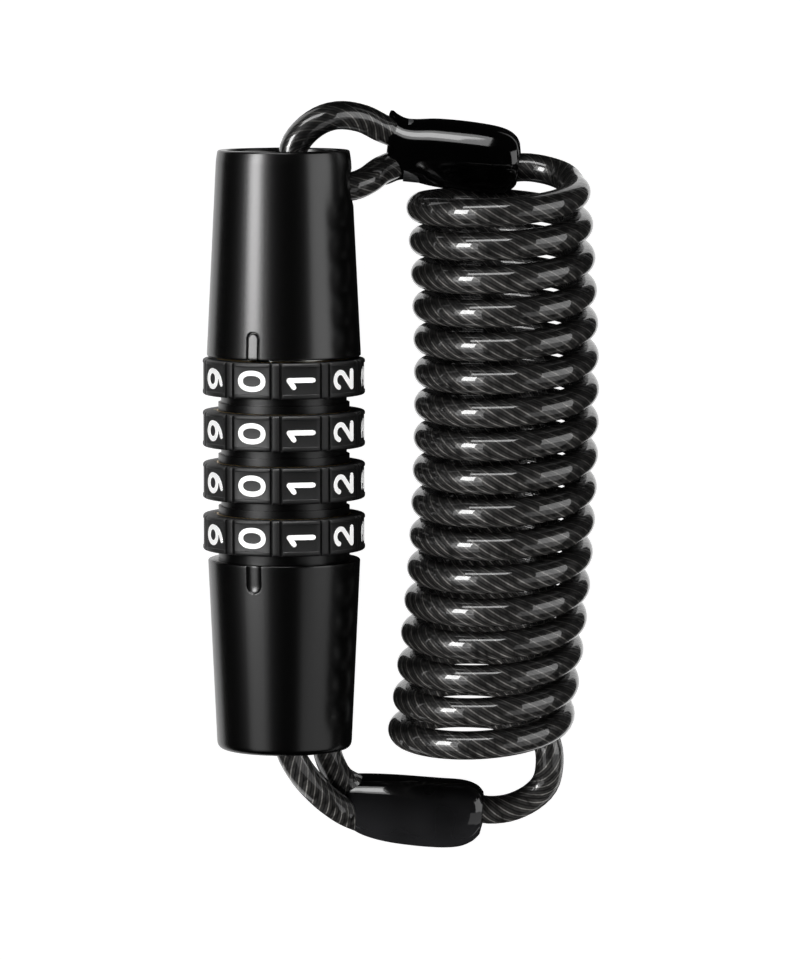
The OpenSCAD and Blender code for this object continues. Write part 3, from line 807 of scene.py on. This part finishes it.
def makeDials(ringBlack, glowingFigureWhite):
    sectors = bpy.data.collections.new("sectors")
    sector = dialSector()
    sectors.objects.link(sector)
    bpy.context.scene.collection.objects.unlink(sector)
    figures = makeFigures()
    ringNodes, ringSockets = roundTree("numberRing", ringBlack)
    figureNodes, figureSockets = roundTree("figureRing", glowingFigureWhite)
    rings, drawn = [], []
    for k in range(1, 5):
        low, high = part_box(f"number_ring_{k}")
        middle = (0, (low.y + high.y) / 2 / mm, axisHeight)
        made = goRound(f"numberRing{k}", ringNodes, ringSockets, sectors, middle)
        edges = made.modifiers.new("edges", "BEVEL")
        edges.width, edges.segments, edges.angle_limit = dial["edge"] * mm, 2, radians(25)
        applyModifiers(made)
        cleanNormals(made, 0.0001)
        smoothShade(made, 35)
        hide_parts(f"number_ring_{k}")
        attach(made, f"dial_{k}")
        marks = goRound(f"figures{k}", figureNodes, figureSockets, figures, middle)
        marks.data.shade_flat()
        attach(marks, f"dial_{k}")
        for piece in (made, marks):
            print(piece.name + ":", len(piece.data.polygons), "faces")
        rings.append(made)
        drawn.append(marks)
    for group in (sectors, figures):
        for thing in list(group.objects):
            bpy.data.objects.remove(thing)
        bpy.data.collections.remove(group)
    return rings, drawn


def grainMaterial(name, low, high, grain, depth, detail=3.0, strength=0.5, **settings):
    material, nodes, links, shader = newMaterial(name, **settings)
    place = nodes.new("ShaderNodeTexCoord")
    noise = addNode(nodes, "ShaderNodeTexNoise", Scale=grain, Detail=detail)
    colour = nodes.new("ShaderNodeValToRGB")
    colour.color_ramp.elements[0].color = (*low, 1)
    colour.color_ramp.elements[1].color = (*high, 1)
    bump = addNode(nodes, "ShaderNodeBump", Strength=strength, Distance=depth)
    links.new(place.outputs["Object"], noise.inputs["Vector"])
    links.new(noise.outputs[0], colour.inputs[0])
    links.new(colour.outputs[0], shader.inputs["Base Color"])
    links.new(noise.outputs[0], bump.inputs["Height"])
    links.new(bump.outputs[0], shader.inputs["Normal"])
    return material


def plasticMaterial(name, shade, grain, depth, **settings):
    low, high = ([share * part for part in shade] for share in (0.8, 1.2))
    return grainMaterial(name, low, high, grain, depth, **settings)


def metalMaterial(name, colour, roughness, stretch):
    material, nodes, links, shader = newMaterial(name, Metallic=1.0)
    shader.inputs["Base Color"].default_value = (*colour, 1)
    place = nodes.new("ShaderNodeTexCoord")
    fit = addNode(nodes, "ShaderNodeMapping")
    fit.inputs["Scale"].default_value = stretch
    noise = addNode(nodes, "ShaderNodeTexNoise", Scale=900.0, Detail=2.0)
    rough = addNode(nodes, "ShaderNodeMapRange")
    rough.inputs["To Min"].default_value = roughness * 0.75
    rough.inputs["To Max"].default_value = roughness * 1.25
    bump = addNode(nodes, "ShaderNodeBump", Strength=0.3, Distance=0.00002)
    links.new(place.outputs["Object"], fit.inputs[0])
    links.new(fit.outputs[0], noise.inputs["Vector"])
    links.new(noise.outputs[0], rough.inputs[0])
    links.new(rough.outputs[0], shader.inputs["Roughness"])
    links.new(noise.outputs[0], bump.inputs["Height"])
    links.new(bump.outputs[0], shader.inputs["Normal"])
    return material


# each metal's colour, its roughness and how its fine marks are stretched
lengthways, turned = (1, 0.05, 1), (0.05, 1, 0.05)
metals = {
    "brushedSteel": ((0.56, 0.57, 0.58), 0.3, turned),
    "springSteel": ((0.62, 0.62, 0.6), 0.25, lengthways),
    "turnedBrass": ((0.5, 0.36, 0.17), 0.42, turned),
    "crimpAluminium": ((0.7, 0.71, 0.72), 0.38, turned),
}
carried = {
    "brushedSteel": ["plug_shaft", "plug_pin", "barrel_sleeve", "sleeve_pin", "base_anchor_pin"],
    "springSteel": ["top_washer", "retaining_clip", "click_spring"],
    "turnedBrass": [f"code_ring_{k}" for k in range(1, 5)],
    "crimpAluminium": ["plug_ferrule", "base_ferrule"],
    "spacerPlastic": ["base_washer", "spacer_ring_1", "spacer_ring_2", "spacer_ring_3"],
}


def dressCarried():
    made = {name: metalMaterial(name, *finish) for name, finish in metals.items()}
    made["spacerPlastic"] = plasticMaterial("spacerPlastic", (0.004, 0.004, 0.0045), 3000.0, 0.00001,
                                            Roughness=0.3, Specular_IOR_Level=0.3)
    for material, names in carried.items():
        for name in names:
            node = bpy.data.objects[name]
            node.data.materials.clear()
            node.data.materials.append(made[material])
        print(material + ":", ", ".join(names))


# the two near cards show in reflections; the far table and its walls only fill the background
cards = {"left": (-27, -2), "right": (37, 46)}
cardReach = 80
farTable = {"half": 2500, "below": 0.5}
tableFinish = {"Base Color": grey(0.3), "Emission Color": grey(1), "Emission Strength": 1.0}
worldGrey = 0.01


def makeFloor():
    material, _, _, shader = newMaterial("whiteTable", Roughness=0.6)
    for socket, value in tableFinish.items():
        shader.inputs[socket].default_value = value
    for name, (x0, x1) in cards.items():
        corners = ((x0, -cardReach, 0), (x1, -cardReach, 0), (x1, cardReach, 0), (x0, cardReach, 0))
        near = meshObject(name + "Table", [Vector(p) * mm for p in corners], [(0, 1, 2, 3)], material)
    # the far table turns up into walls, so that a low view has the same pale background
    half = farTable["half"]
    square = ((-half, -half), (half, -half), (half, half), (-half, half))
    corners = [Vector((x, y, z)) * mm for z in (-farTable["below"], half) for x, y in square]
    walls = [(i, i + 4, (i + 1) % 4 + 4, (i + 1) % 4) for i in range(4)]
    far = meshObject("farTable", corners, [(0, 1, 2, 3)] + walls, material)
    far.visible_glossy = False
    far.visible_diffuse = False
    world = bpy.data.worlds.new("studio")
    bpy.context.scene.world = world
    world.use_nodes = True
    world.node_tree.nodes["Background"].inputs["Color"].default_value = grey(worldGrey)
    print("floor:", len(cards) + 1, "staged pieces")


placeCamera()
placeLights()
makeFloor()
dressCarried()
housingBlack = plasticMaterial("satinBlackHousing", (0.0012, 0.0012, 0.0014), 2600.0, 0.000006,
                               Roughness=0.26)
makePlugHousing(housingBlack)
makeBaseHousing(housingBlack)
ringBlack = plasticMaterial("ringBlack", (0.02, 0.02, 0.021), 3500.0, 0.00001, Roughness=0.52,
                            Specular_IOR_Level=0.38)
# the figures glow a little: painted light that keeps them white wherever the lamps fall
glowingFigureWhite = plasticMaterial("glowingFigureWhite", (0.8, 0.8, 0.79), 2000.0, 0.000003, Roughness=0.5,
                              Emission_Color=grey(1), Emission_Strength=0.3)
dialRings, dialFigures = makeDials(ringBlack, glowingFigureWhite)
cablePiece, cableLine = makeCable()
lightOnly("coilRim", rim, [cablePiece], upwards=True)
lightOnly("figureFill", fill, dialFigures, shiny=False)
lightOnly("edgePanel", edgePanel, dialRings, matt=False)
coverBlack = grainMaterial("glossBlackSleeve", (0.006, 0.006, 0.0065), (0.028, 0.028, 0.03), 190.0, 0.0003,
                           detail=0.0, strength=0.35, Roughness=0.07, IOR=1.5)
plugSleeve = makeCover("plugCrimpCover", plugCover, plugCrimp, plugEnd, coverBlack,
                       "plug", "plug_crimp_cover")
baseSleeve = makeCover("baseCrimpCover", baseCover, baseCrimp, baseEnd, coverBlack,
                       "barrel", "base_crimp_cover")
lightOnly("wireLight", wireLight, [cablePiece, baseSleeve], shiny=False)
lightOnly("plugCoverPanel", plugCoverPanel, [plugSleeve], matt=False)
lightOnly("baseCoverPanel", baseCoverPanel, [baseSleeve], matt=False)
bpy.context.scene.view_settings.view_transform = "Standard"
